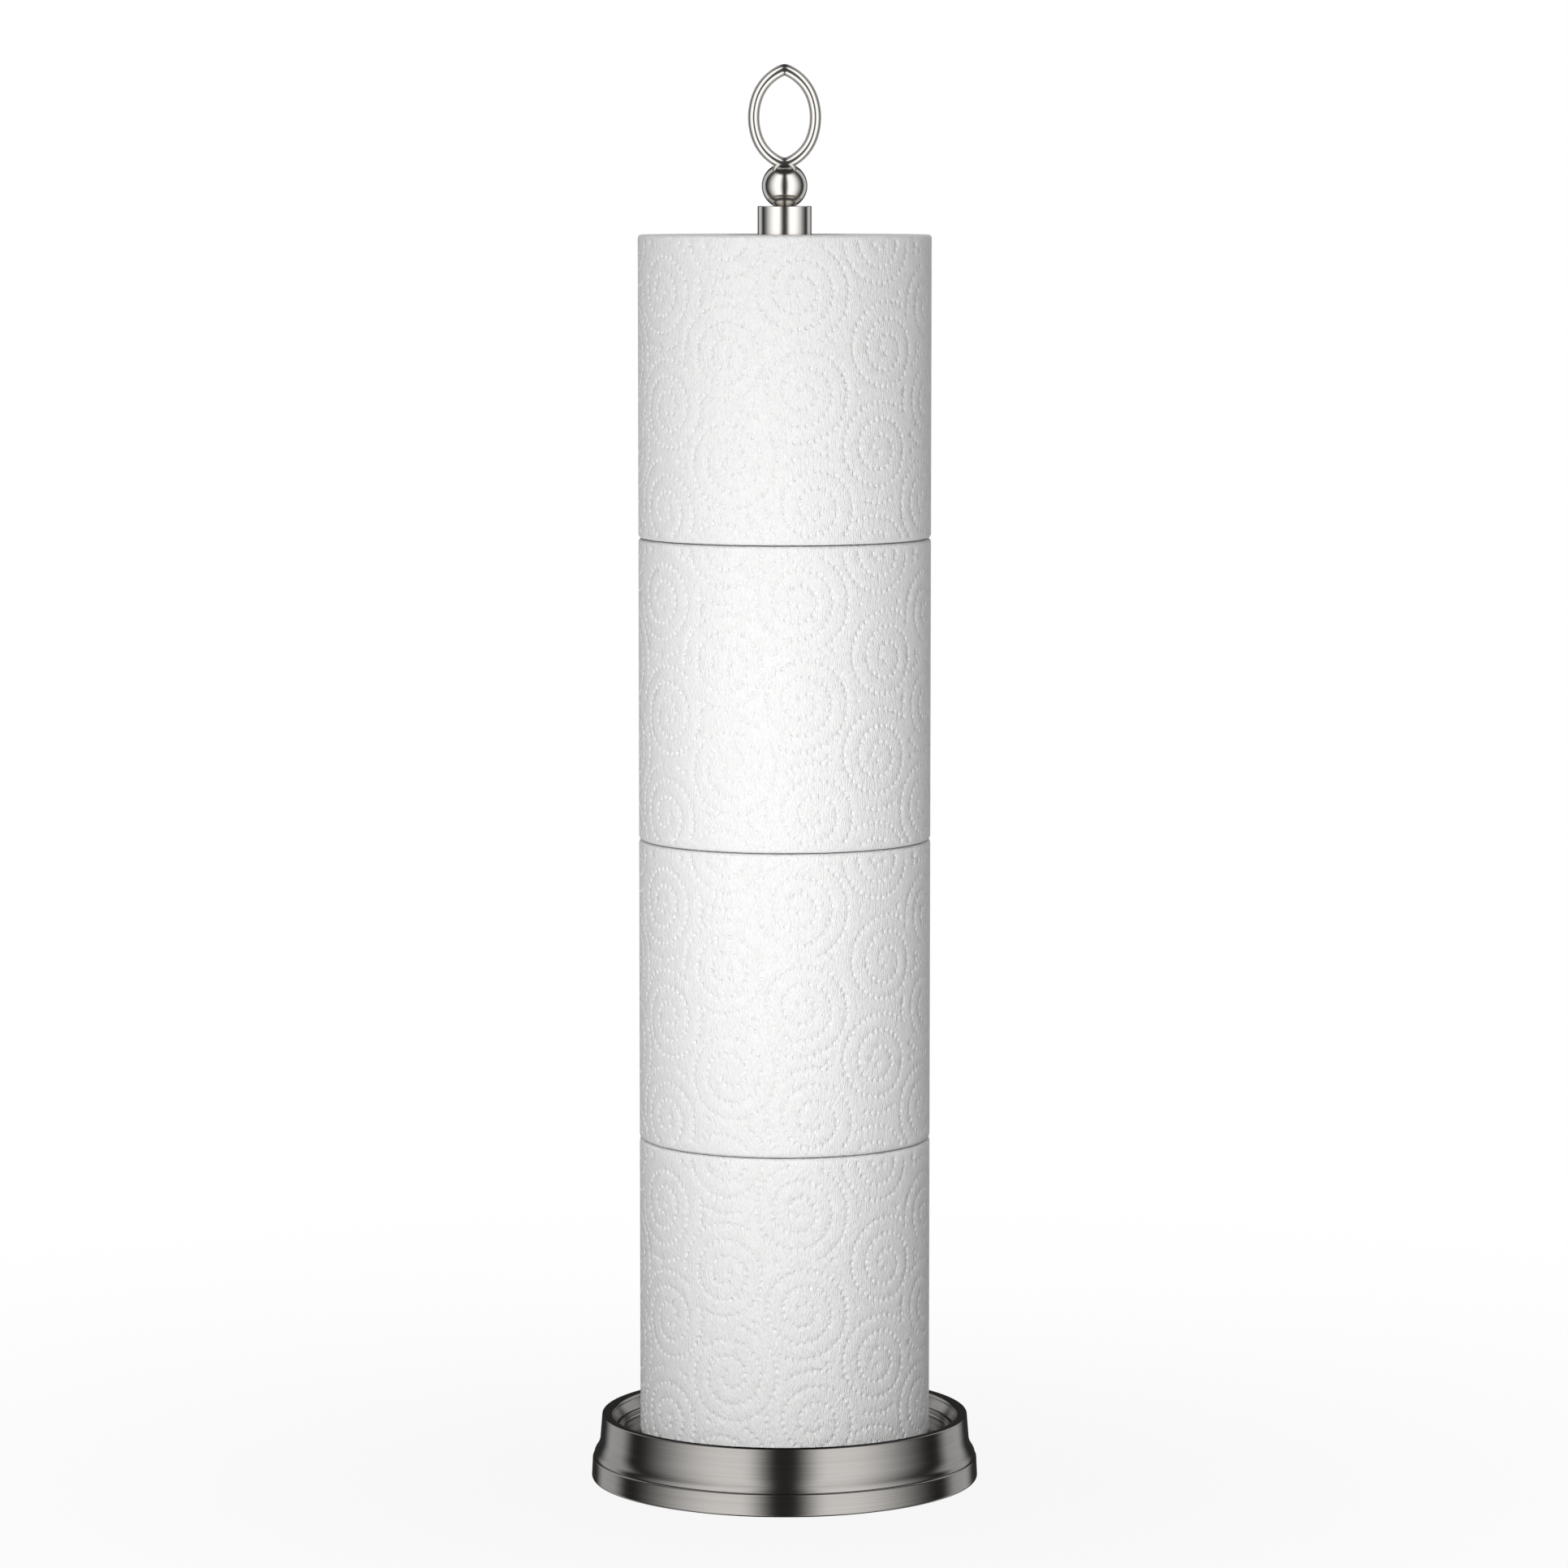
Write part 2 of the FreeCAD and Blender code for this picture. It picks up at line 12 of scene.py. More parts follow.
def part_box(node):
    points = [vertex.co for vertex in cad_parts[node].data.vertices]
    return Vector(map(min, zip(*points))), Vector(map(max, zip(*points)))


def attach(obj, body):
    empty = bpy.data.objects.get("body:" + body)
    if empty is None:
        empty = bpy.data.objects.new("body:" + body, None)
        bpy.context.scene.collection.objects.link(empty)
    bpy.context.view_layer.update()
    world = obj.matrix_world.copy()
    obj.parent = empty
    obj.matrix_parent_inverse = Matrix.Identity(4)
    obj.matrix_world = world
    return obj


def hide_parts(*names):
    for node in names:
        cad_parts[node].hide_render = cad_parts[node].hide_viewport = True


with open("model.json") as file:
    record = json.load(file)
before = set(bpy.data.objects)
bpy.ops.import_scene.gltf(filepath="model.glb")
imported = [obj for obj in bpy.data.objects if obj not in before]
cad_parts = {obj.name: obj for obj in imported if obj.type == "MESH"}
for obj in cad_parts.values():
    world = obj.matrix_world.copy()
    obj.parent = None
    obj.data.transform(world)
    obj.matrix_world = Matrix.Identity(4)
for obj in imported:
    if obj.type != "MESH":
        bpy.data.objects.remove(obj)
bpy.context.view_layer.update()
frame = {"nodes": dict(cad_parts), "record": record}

MM = 0.001
FRONT = Vector((0, -1, 0))

# Camera: the angle that the object is shown from.
CAMERA_DISTANCE = 2.111
CAMERA_SIDE = -0.0002
CAMERA_HEIGHT = 0.4619
CAMERA_PITCH = math.radians(5.707)
CAMERA_LENS = 136.64

# Studio light, in watts and metres.
FILL_LIGHT = 0.365
LIGHT_AZIMUTHS = (("front", math.radians(-9.8)), ("back", math.radians(172)))
LIGHT_DISTANCE = 0.528
KEY_SIZE = 0.25
KEY_HEIGHT = 0.238
KEY_ENERGY = 1.99
COLUMN_WIDTH = 0.12
COLUMN_LOW = 0.9
COLUMN_HIGH = 2.7
COLUMN_ENERGY = 3.6
OVERHEAD_ENERGY = 0.6
OVERHEAD_HEIGHT = 3.0
OVERHEAD_ANGLE = math.radians(40)

# What the metal mirrors: soft boxes in front and strips behind, the same on the left and right.
# Each edge is the pair of angles, in degrees, between which the light fades in or out.
BOX_NEAR_EDGE, BOX_FAR_EDGE = (5, 27), (36, 104)
BOX_LOW_EDGE, BOX_HIGH_EDGE = (-66, -58), (50, 62)
BOX_STRENGTH = 1.5
STRIP_NEAR_EDGE, STRIP_FAR_EDGE = (108, 124), (137, 153)
STRIP_LOW_EDGE, STRIP_HIGH_EDGE = (-78, -66), (64, 78)
STRIP_STRENGTH = 0.65
STUDIO_GLOW = 0.035

# Floor, in metres. Near the stand it throws less light on the rolls than further out, and the
# share of its own glow that the camera sees grows from near to far.
FLOOR_HALF = 12.0
FLOOR_TONES, FLOOR_TONE_RADII = (0.12, 0.72), (0.12, 0.8)
FLOOR_GLOWS, FLOOR_GLOW_RADII = (0.92, 1.0), (0.08, 0.6)

# Turned metal. Angles in radians, and the margin in millimetres, as the sections are.
TURNED_SIDES = 360
ARC_STEP = math.radians(9)
FLAT_MARGIN = 0.12
METAL_CREASE = math.radians(30)

# Wound paper. The outermost sheet ends behind the roll, and the roll's outline steps in there.
ROLLS = 4
TAIL_ANGLE = math.radians(50)
SHEET_THICKNESS = 0.2 * MM
TAIL_LIFT = 0.3 * MM
TAIL_LIFT_LENGTH = 7 * MM
EDGE_ROUND = 1.2 * MM
EDGE_ARC_STEPS = 3
EDGE_ROW_GAP = 1.0 * MM
COLUMNS = 300
END_RINGS = 34
END_STEP = 0.3 * MM
END_RELIEF = 0.14 * MM
END_FADE = 6
END_TURNS_SHARE = 0.55
END_UNEVEN_SHARE = 0.45
TURN_LINES = 27
LOW_END_SEED = 1.3
HIGH_END_SEED = 4.1
PAPER_CREASE = math.radians(50)

# Embossing: chains of oval dimples wound into swirls, in staggered columns that wander a little.
SWIRL_COLUMN_GAP = 28.5 * MM
SWIRL_ROW_GAP = 36 * MM
SWIRL_WANDER = 3.2 * MM
FIRST_SWIRL_ANGLE = math.radians(-54)
FIRST_SWIRL_HEIGHT = 86 * MM
SWIRL_START = 2.0 * MM
SWIRL_PITCH = 5.8 * MM
SWIRL_REACH = 30 * MM
DIMPLE_GAP = 2.55 * MM
DIMPLE_CLEARANCE = 2.1 * MM
DIMPLE_HALF_WIDTH = 0.72 * MM
DIMPLE_HALF_HEIGHT = 1.05 * MM
DIMPLE_DEPTH = 0.48 * MM
DIMPLE_SHALLOWEST = 0.82
DIMPLE_SIDE_MARGIN = 0.6 * MM
DIMPLE_END_MARGIN = 0.2 * MM
# Rings of one dimple from its border inwards: share of its half size, share of its depth, points.
DIMPLE_RINGS = ((1.0, 0.0, 9), (0.84, 0.12, 9), (0.58, 0.85, 8), (0.28, 1.0, 4))
# Points of the smooth paper. They keep off a dimple's centre by this many half widths.
FILLER_GAP = 2.2 * MM
FILLER_JITTER = 0.15
FILLER_KEEP_OFF = 1.5
SWIRL_SEED = 3
CHAIN_SEED = 7
POINT_SEED = 11


# ---------------------------------------------------------------- materials

def set_input(tree, socket, value):
    """Links a socket to another node's output, or gives it a constant."""
    if isinstance(value, bpy.types.NodeSocket):
        tree.links.new(value, socket)
    else:
        socket.default_value = value


def add_node(tree, kind, inputs=(), **settings):
    """Adds a node. inputs maps a socket's name or number to a value or another node's output."""
    made = tree.nodes.new("ShaderNode" + kind)
    for label, value in settings.items():
        setattr(made, label, value)
    for socket, value in dict(inputs).items():
        set_input(tree, made.inputs[socket], value)
    return made


class Material:
    """A Principled material, with short ways to add the nodes that vary it."""

    def __init__(self, name, **settings):
        self.data = bpy.data.materials.new(name)
        self.data.use_nodes = True
        self.tree = self.data.node_tree
        self.surface = self.tree.nodes["Principled BSDF"]
        for label, value in settings.items():
            self.surface.inputs[label.replace("_", " ")].default_value = value

    def node(self, kind, inputs=(), **settings):
        """Adds a node to this material."""
        return add_node(self.tree, kind, inputs, **settings)

    def surface_input(self, label, value):
        """Sets or links one of the Principled shader's own sockets."""
        set_input(self.tree, self.surface.inputs[label], value)

    def maths(self, operation, *values):
        """The result of a Math node."""
        return self.node("Math", enumerate(values), operation=operation).outputs[0]

    def added(self, first, first_share, second, second_share):
        """The sum of two values, each times its share."""
        return self.maths("ADD", self.maths("MULTIPLY", first, first_share),
                          self.maths("MULTIPLY", second, second_share))

    def axis_distance(self, x, y):
        """The distance from the Z axis."""
        squares = self.maths("ADD", self.maths("MULTIPLY", x, x), self.maths("MULTIPLY", y, y))
        return self.maths("SQRT", squares)

    def position(self):
        """The place on the piece, in metres from its own origin."""
        return self.node("TexCoord").outputs["Object"]

    def noise(self, vector, scale, detail=3.0, roughness=0.5, w=None):
        """A noise value, about 0.5 on average. With w it is noise in four dimensions."""
        inputs = {"Vector": vector, "Scale": scale, "Detail": detail, "Roughness": roughness}
        if w is not None:
            inputs["W"] = w
        dimensions = "3D" if w is None else "4D"
        return self.node("TexNoise", inputs, noise_dimensions=dimensions).outputs[0]

    def stretched(self, vector, scale):
        """The vector, scaled differently along each axis."""
        return self.node("Mapping", {"Vector": vector, "Scale": scale}).outputs[0]

    def between(self, value, low, high, start=0.0, end=1.0):
        """The value taken from the range start..end to the range low..high."""
        inputs = {"Value": value, "From Min": start, "From Max": end,
                  "To Min": low, "To Max": high}
        return self.node("MapRange", inputs).outputs[0]

    def colours(self, value, dark, light, start=0.0, end=1.0):
        """A colour between dark and light, as value goes from start to end."""
        ramp = self.node("ValToRGB", {0: value})
        ramp.color_ramp.elements[0].position = start
        ramp.color_ramp.elements[0].color = (*dark, 1)
        ramp.color_ramp.elements[1].position = end
        ramp.color_ramp.elements[1].color = (*light, 1)
        return ramp.outputs[0]

    def bump(self, height, distance, strength=1.0, below=None):
        """A bump: height times distance, in metres, on top of another bump if one is given."""
        inputs = {"Height": height, "Distance": distance, "Strength": strength}
        if below is not None:
            inputs["Normal"] = below
        return self.node("Bump", inputs).outputs[0]


def turned_streaks(material, across, along):
    """Fine lines that run round the Z axis, as brushing on a lathe leaves them. across sets
    how densely they stand along the profile, along how often they break round a turn."""
    x, y, z = material.node("SeparateXYZ", {0: material.position()}).outputs
    radius = material.axis_distance(x, y)
    around_x = material.maths("MULTIPLY", material.maths("DIVIDE", x, radius), along)
    around_y = material.maths("MULTIPLY", material.maths("DIVIDE", y, radius), along)
    height = material.maths("MULTIPLY", z, across)
    place = material.node("CombineXYZ", {0: around_x, 1: around_y, 2: height}).outputs[0]
    outwards = material.maths("MULTIPLY", radius, across)
    return material.noise(place, 1.0, detail=4.0, roughness=0.65, w=outwards)


def brushed_nickel():
    """The base: satin nickel brushed on a lathe, so its streaks run round it, painted about half as
    bright as the post: painted shade for the dimmer light it mirrors from low down.
    """
    m = Material("brushed nickel", Metallic=1.0, Anisotropic=0.8, Anisotropic_Rotation=0.25)
    fine = turned_streaks(m, across=3600, along=0.9)
    broad = turned_streaks(m, across=900, along=0.6)
    m.surface_input("Tangent", m.node("Tangent", direction_type="RADIAL", axis="Z").outputs[0])
    both = m.added(fine, 0.6, broad, 0.4)
    # The base's nickel tones are painted about half as bright as the post's: painted shade for the
    # dimmer light the base mirrors from below the horizon.
    colour = m.colours(both, (0.30, 0.288, 0.275), (0.40, 0.386, 0.370), 0.3, 0.7)
    m.surface_input("Base Color", colour)
    m.surface_input("Roughness", m.between(both, 0.15, 0.21, 0.3, 0.7))
    m.surface_input("Normal", m.bump(both, 0.008 * MM))
    return m.data


def satin_nickel(name, colour, roughness):
    """The tube, ball and loop: nickel in its own colour, with only faint polishing lines; the
    base's nickel is painted darker as shade.
    """
    m = Material(name, Metallic=1.0)
    lines = turned_streaks(m, across=9000, along=4)
    cloud = m.noise(m.position(), 90.0)
    light = tuple(min(1.0, c * 1.04) for c in colour)
    m.surface_input("Base Color", m.colours(cloud, colour, light, 0.35, 0.65))
    m.surface_input("Roughness", m.between(lines, roughness * 0.8, roughness * 1.25, 0.3, 0.7))
    m.surface_input("Normal", m.bump(lines, 0.002 * MM))
    return m.data


def tissue():
    """Soft white tissue: fine crepe wrinkles along the roll's axis and loose fibres, with painted
    shade in the crepe's hollows.
    """
    m = Material("tissue paper", Roughness=0.95, Sheen_Weight=0.15, Sheen_Roughness=0.6,
                 Specular_IOR_Level=0.15)
    position = m.position()
    crepe = m.noise(m.stretched(position, (2800, 2800, 650)), 1.0, detail=2.0, roughness=0.55)
    fibres = m.noise(m.stretched(position, (5200, 5200, 2600)), 1.0, detail=2.0)
    puckers = m.noise(m.stretched(position, (260, 260, 120)), 1.0, detail=2.0)
    # The crepe's hollows are painted darker and its ridges lighter: painted shade in the wrinkles.
    colour = m.colours(crepe, (0.83, 0.83, 0.83), (0.90, 0.90, 0.895), 0.3, 0.7)
    m.surface_input("Base Color", colour)
    pressed = m.bump(puckers, 0.10 * MM)
    wrinkled = m.bump(crepe, 0.66 * MM, below=pressed)
    m.surface_input("Normal", m.bump(fibres, 0.02 * MM, below=wrinkled))
    return m.data


def core_board():
    """Brown board of the cores, wound from a strip, so a seam climbs round each one."""
    m = Material("core board", Roughness=0.9, Specular_IOR_Level=0.2)
    position = m.position()
    fibres = m.noise(m.stretched(position, (900, 900, 900)), 1.0, detail=5.0, roughness=0.65)
    flecks = m.noise(m.stretched(position, (2600, 2600, 2600)), 1.0, detail=1.0)
    x, y, z = m.node("SeparateXYZ", {0: position}).outputs
    turn = m.maths("DIVIDE", m.maths("ARCTAN2", y, x), math.tau)
    strip = m.maths("FRACT", m.maths("ADD", m.maths("DIVIDE", z, 66 * MM), turn))
    seam = m.between(m.maths("ABSOLUTE", m.maths("SUBTRACT", strip, 0.5)), 0.0, 1.0, 0.0, 0.012)
    mixed = m.added(fibres, 0.75, flecks, 0.25)
    colour = m.colours(mixed, (0.30, 0.235, 0.17), (0.52, 0.44, 0.34), 0.3, 0.7)
    m.surface_input("Base Color", colour)
    m.surface_input("Normal", m.bump(seam, 0.25 * MM, below=m.bump(fibres, 0.06 * MM)))
    return m.data


def cast_iron():
    """The ballast: sand-cast iron with a dull grey coat."""
    m = Material("cast ballast", Metallic=0.6)
    grain = m.noise(m.position(), 900.0, detail=5.0, roughness=0.7)
    lumps = m.noise(m.position(), 160.0)
    colour = m.colours(grain, (0.045, 0.045, 0.048), (0.13, 0.13, 0.13), 0.35, 0.7)
    m.surface_input("Base Color", colour)
    m.surface_input("Roughness", m.between(lumps, 0.55, 0.85, 0.3, 0.7))
    m.surface_input("Normal", m.bump(lumps, 0.3 * MM, below=m.bump(grain, 0.1 * MM)))
    return m.data


def foam():
    """The foot pad: black closed-cell foam with fine pores."""
    m = Material("foot foam", Roughness=0.92, Specular_IOR_Level=0.2)
    cells = m.node("TexVoronoi", {"Vector": m.position(), "Scale": 1500.0}).outputs["Distance"]
    cloud = m.noise(m.position(), 120.0)
    colour = m.colours(cloud, (0.012, 0.012, 0.013), (0.03, 0.03, 0.031), 0.3, 0.7)
    m.surface_input("Base Color", colour)
    m.surface_input("Normal", m.bump(cells, 0.15 * MM))
    return m.data


def zinc():
    """Bolt, washers, insert and stud: bright zinc with a faint blue cast and turning marks."""
    m = Material("zinc fastener", Metallic=1.0)
    cloud = m.noise(m.position(), 420.0, detail=4.0)
    lines = turned_streaks(m, across=3500, along=3)
    colour = m.colours(cloud, (0.55, 0.58, 0.62), (0.72, 0.73, 0.74), 0.3, 0.7)
    m.surface_input("Base Color", colour)
    m.surface_input("Roughness", m.between(cloud, 0.25, 0.5, 0.3, 0.7))
    m.surface_input("Normal", m.bump(lines, 0.01 * MM))
    return m.data


MATERIALS = {
    "brushed_nickel_base": brushed_nickel(),
    "brushed_nickel_post": satin_nickel("satin nickel post", (0.70, 0.68, 0.655), 0.16),
    "polished_nickel_finial": satin_nickel("polished nickel finial", (0.70, 0.68, 0.652), 0.145),
    "cast_ballast": cast_iron(),
    "foot_foam": foam(),
    "zinc_fastener": zinc(),
    "core_board": core_board(),
    "tissue_paper": tissue(),
}


def dress_cad_nodes():
    """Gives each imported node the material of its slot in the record."""
    for part in frame["record"]["subparts"]:
        mesh = frame["nodes"][part["node"]].data
        mesh.materials.clear()
        mesh.materials.append(MATERIALS[part["material_slot"]])


# ---------------------------------------------------------------- turned metal

def arc_points(start, end, radius, side):
    """Points inside the shorter arc between two points, whose centre lies to the left or right
    of the way from start to end."""
    middle = (start + end) / 2
    chord = end - start
    to_centre = math.sqrt(radius ** 2 - (chord.length / 2) ** 2)
    across = Vector((-chord.y, chord.x)).normalized()
    turn = 1 if side == "left" else -1
    centre = middle + across * to_centre * turn
    first = math.atan2(start.y - centre.y, start.x - centre.x)
    sweep = 2 * math.asin(min(1.0, chord.length / 2 / radius)) * turn
    steps = max(4, math.ceil(abs(sweep) / ARC_STEP))
    angles = [first + sweep * k / steps for k in range(1, steps)]
    return [centre + radius * Vector((math.cos(angle), math.sin(angle))) for angle in angles]


def section_points(outline):
    """The points of a closed section. Next to each end of a straight run stands one more,
    so that the run stays flat up to its rounded corner."""
    points = []
    for corner, following in zip(outline, outline[1:] + outline[:1]):
        start = Vector(corner[:2])
        end = Vector(following[:2])
        points.append(start)
        if len(corner) == 3:
            side, radius = corner[2]
            points += arc_points(start, end, radius, side)
        elif (end - start).length > 3 * FLAT_MARGIN:
            along = (end - start).normalized() * FLAT_MARGIN
            points += [start + along, end - along]
    return points


def turned_piece(name, node, outline):
    """Turns a section, in millimetres, round the Z axis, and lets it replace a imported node."""
    section = [point * MM for point in section_points(outline)]
    count = len(section)
    vertices = []
    for j in range(TURNED_SIDES):
        angle = math.tau * j / TURNED_SIDES
        vertices += [(p.x * math.cos(angle), p.x * math.sin(angle), p.y) for p in section]
    faces = []
    for j in range(TURNED_SIDES):
        here, there = j * count, (j + 1) % TURNED_SIDES * count
        faces += [(here + k, there + k, there + (k + 1) % count, here + (k + 1) % count)
                  for k in range(count)]
    mesh = bpy.data.meshes.new(name)
    mesh.from_pydata(vertices, [], faces)
    mesh.polygons.foreach_set("use_smooth", [True] * len(mesh.polygons))
    mesh.set_sharp_from_angle(angle=METAL_CREASE)
    mesh.materials.append(MATERIALS["brushed_nickel_base"])
    piece = bpy.data.objects.new(name, mesh)
    bpy.context.scene.collection.objects.link(piece)
    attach(piece, "stand")
    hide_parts(node)


def make_base():
    """The spun shell and the pressed pan, with every small rounding that catches the light.
    A corner is (radius, height) in millimetres, then (side, radius) if an arc leaves it."""
    outside = [
        (68.5, 0.5, ("left", 0.9)),
        (69.4, 1.4),
        (69.1, 7.6, ("left", 1.0)),
        (68.25, 8.6, ("left", 0.35)),
        (68.6, 8.95, ("left", 3.5)),
        (67.8, 10.9, ("right", 8.8)),
        (66.25, 15.9),
        (65.65, 23.3, ("left", 0.6)),
    ]
    lip_and_tray = [
        (65.05, 23.9),
        (63.2, 23.9, ("left", 1.5)),
        (61.7, 22.4),
        (60.35, 19.2),
        (60.35, 15.6),
        (56.0, 15.6),
        (56.0, 14.4),
        (61.55, 14.4),
    ]
    underside = [
        (61.55, 19.2),
        (62.9, 22.4),
        (63.2, 22.7),
        (64.45, 22.7),
        (65.05, 15.9),
        (66.6, 10.9),
        (67.05, 8.6),
        (67.9, 6.4),
        (68.2, 0.5),
    ]
    turned_piece("spun_base_shell", "base_shell", outside + lip_and_tray + underside)
    pan = [
        (4.5, 15.6),
        (60.3, 15.6),
        (60.3, 18.65, ("left", 0.55)),
        (59.75, 19.2, ("left", 0.55)),
        (59.2, 18.65),
        (59.2, 18.0, ("right", 1.2)),
        (58.0, 16.8),
        (4.5, 16.8),
    ]
    turned_piece("pressed_tray_pan", "tray_pan", pan)


# ---------------------------------------------------------------- wound paper

def smooth_step(t):
    """0 up to t = 0, 1 from t = 1, and smooth between."""
    t = min(1.0, max(0.0, t))
    return t * t * (3 - 2 * t)


def swirl_centres(length, height, front):
    """Centres of the embossed swirls on the unrolled sheet. front is where along it the sheet
    faces the camera."""
    chance = random.Random(SWIRL_SEED)
    first = front + FIRST_SWIRL_ANGLE * length / math.tau
    before = int(first // SWIRL_COLUMN_GAP) + 2
    after = int((length - first) // SWIRL_COLUMN_GAP) + 2
    centres = []
    for column in range(-before, after + 1):
        stagger = SWIRL_ROW_GAP / 2 if column % 2 else 0.0
        for row in range(-1, int(height // SWIRL_ROW_GAP) + 2):
            u = first + column * SWIRL_COLUMN_GAP + chance.uniform(-SWIRL_WANDER, SWIRL_WANDER)
            v = FIRST_SWIRL_HEIGHT + stagger - row * SWIRL_ROW_GAP
            centres.append((u, v + chance.uniform(-SWIRL_WANDER, SWIRL_WANDER)))
    return centres


def dimple_places(length, height, front):
    """Centres of the dimples on the unrolled sheet. Each swirl is a spiral chain of them. It
    stops where another swirl is nearer, and leaves out dimples that would run into others."""
    chance = random.Random(CHAIN_SEED)
    centres = swirl_centres(length, height, front)
    nearest = KDTree(len(centres))
    for index, centre in enumerate(centres):
        nearest.insert((*centre, 0), index)
    nearest.balance()
    cells = {}
    places = []
    chains = []
    for index, (u0, v0) in enumerate(centres):
        turn = chance.uniform(0, math.tau)
        hand = chance.choice((1, -1))
        angle = 0.0
        radius = SWIRL_START
        while radius < SWIRL_REACH:
            u = u0 + radius * math.cos(turn + hand * angle)
            v = v0 + radius * math.sin(turn + hand * angle)
            chains.append((radius, index, u, v))
            angle += DIMPLE_GAP / radius
            radius = SWIRL_START + SWIRL_PITCH * angle / math.tau
    margin_u = DIMPLE_HALF_WIDTH + DIMPLE_SIDE_MARGIN
    margin_v = EDGE_ROUND + DIMPLE_HALF_HEIGHT + DIMPLE_END_MARGIN
    for radius, index, u, v in sorted(chains):
        if not (margin_u < u < length - margin_u and margin_v < v < height - margin_v):
            continue
        if nearest.find((u, v, 0))[1] != index:
            continue
        cell = (int(u / DIMPLE_CLEARANCE), int(v / DIMPLE_CLEARANCE))
        around = [p for i in (-1, 0, 1) for j in (-1, 0, 1)
                  for p in cells.get((cell[0] + i, cell[1] + j), ())]
        if any(math.hypot(u - pu, v - pv) < DIMPLE_CLEARANCE for pu, pv in around):
            continue
        cells.setdefault(cell, []).append((u, v))
        places.append((u, v))
    return places


def sheet_points(length, height, edge_rows, places):
    """Points of the unrolled outer surface as (along, up, depth): its border first, then each
    dimple's rings, then loose points that fill the smooth paper between them."""
    bottom, top = edge_rows[0], edge_rows[-1]
    columns = [length * j / COLUMNS for j in range(COLUMNS + 1)]
    border = [(u, bottom, 0.0) for u in columns]
    border += [(u, top, 0.0) for u in columns]
    border += [(0.0, v, 0.0) for v in edge_rows[1:-1]]
    border += [(length, v, 0.0) for v in edge_rows[1:-1]]
    chance = random.Random(POINT_SEED)
    squash = DIMPLE_HALF_WIDTH / DIMPLE_HALF_HEIGHT
    points = list(border)
    finder = KDTree(len(places))
    for number, (u, v) in enumerate(places):
        finder.insert((u, v * squash, 0), number)
        depth = DIMPLE_DEPTH * chance.uniform(DIMPLE_SHALLOWEST, 1.0)
        lean = chance.uniform(0, math.tau)
        for share, sunk, count in DIMPLE_RINGS:
            for k in range(count):
                angle = lean + math.tau * (k + share) / count
                points.append((u + share * DIMPLE_HALF_WIDTH * math.cos(angle),
                               v + share * DIMPLE_HALF_HEIGHT * math.sin(angle),
                               depth * sunk))
        points.append((u, v, depth))
    finder.balance()
    row_height = FILLER_GAP * math.sqrt(3) / 2
    for row in range(1, int((top - bottom) / row_height)):
        for column in range(1, int(length / FILLER_GAP)):
            shift = chance.uniform(-FILLER_JITTER, FILLER_JITTER)
            u = (column + (row % 2) / 2 + shift) * FILLER_GAP
            v = bottom + (row + chance.uniform(-FILLER_JITTER, FILLER_JITTER)) * row_height
            if u >= length - FILLER_GAP / 2:
                continue
            if finder.find((u, v * squash, 0))[2] > DIMPLE_HALF_WIDTH * FILLER_KEEP_OFF:
                points.append((u, v, 0.0))
    return points


